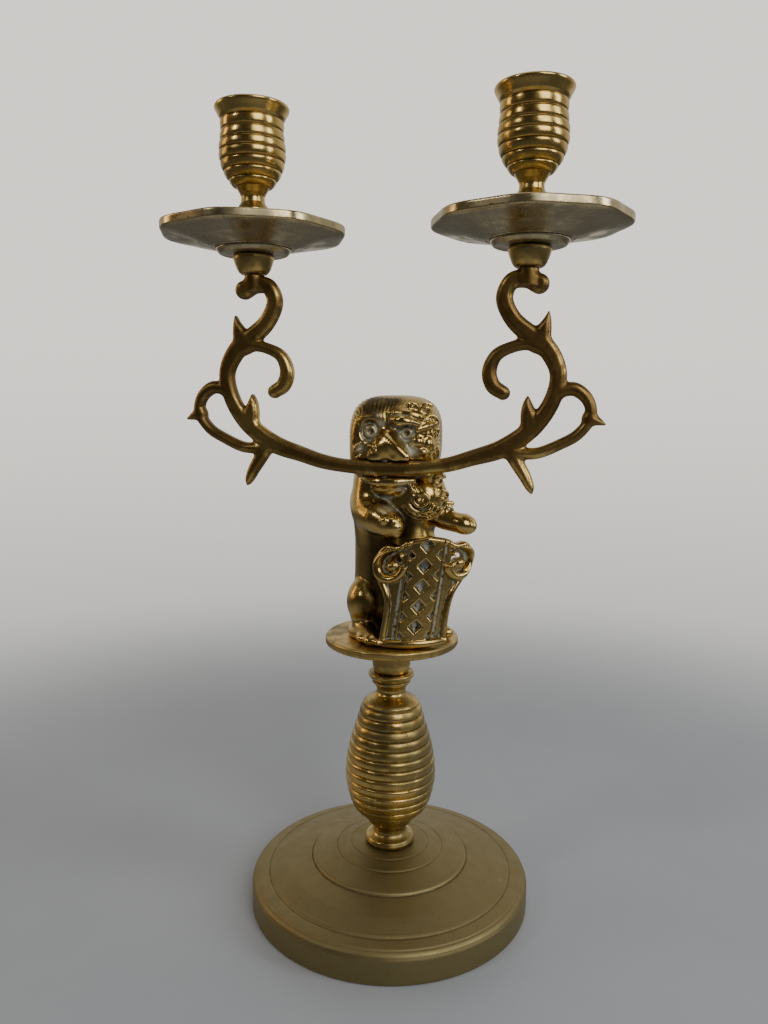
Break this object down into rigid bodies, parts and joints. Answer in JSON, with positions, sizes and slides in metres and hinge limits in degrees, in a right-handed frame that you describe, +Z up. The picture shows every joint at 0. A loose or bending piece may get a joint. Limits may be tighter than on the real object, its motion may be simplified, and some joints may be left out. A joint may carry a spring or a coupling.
{
  "type": "tabletop candelabra",
  "caption": "Turned brass candelabra: round base, beehive stem, seated lion with a shield and a scrolled branch in its mouth, drip pans and ribbed candle cups.",
  "frame": {"origin": "centre of the base's underside, on the surface that it stands on", "axes": "+Z up the stem, X along the branch, the lion's face towards -Y"},
  "size_m": [0.1808, 0.12, 0.3281],
  "materials": {
    "base_brass": "dull satin, olive-brown, turned rings",
    "platform_brass": "satin, aged",
    "stem_brass": "polished, lightly aged",
    "lion_brass": "polished casting with dark and whitish residue in its hollows",
    "branch_brass": "dark bronze-brown, satin",
    "pan_brass": "satin, aged",
    "cup_brass": "polished, lightly aged",
    "steel": "plain, dull"
  },
  "bodies": {
    "stand": {"base": "base_brass", "base_washer": "steel", "base_nut": "steel", "tie_rod": "steel", "stem_knop": "stem_brass", "neck_collar": "stem_brass", "platform": "platform_brass", "lion": "lion_brass", "shield": "lion_brass", "shield_pin_lower": "steel", "shield_pin_upper": "steel", "branch": "branch_brass", "branch_pin": "steel", "left_boss": "branch_brass", "right_boss": "branch_brass"},
    "left_pan": {"left_pan": "pan_brass"},
    "left_cup": {"left_cup": "cup_brass", "left_stud": "steel"},
    "right_pan": {"right_pan": "pan_brass"},
    "right_cup": {"right_cup": "cup_brass", "right_stud": "steel"}
  },
  "joints": [
    {"name": "left_cup_turn", "type": "hinge", "parent": "stand", "child": "left_pan", "pos_m": [-0.0537, -0.017, 0.273], "axis": [0, 0, 1], "range_deg": [0, 2520]},
    {"name": "left_cup_lift", "type": "slide", "parent": "left_pan", "child": "left_cup", "axis": [0, 0, 1], "range_m": [0, 0.0049]},
    {"name": "right_cup_turn", "type": "hinge", "parent": "stand", "child": "right_pan", "pos_m": [0.0537, -0.017, 0.273], "axis": [0, 0, 1], "range_deg": [0, 2520]},
    {"name": "right_cup_lift", "type": "slide", "parent": "right_pan", "child": "right_cup", "axis": [0, 0, 1], "range_m": [0, 0.0049]}
  ],
  "couplings": [
    {"joint": "left_cup_lift", "follows": "left_cup_turn", "m_per_rad": 0.0001114},
    {"joint": "right_cup_lift", "follows": "right_cup_turn", "m_per_rad": 0.0001114}
  ]
}
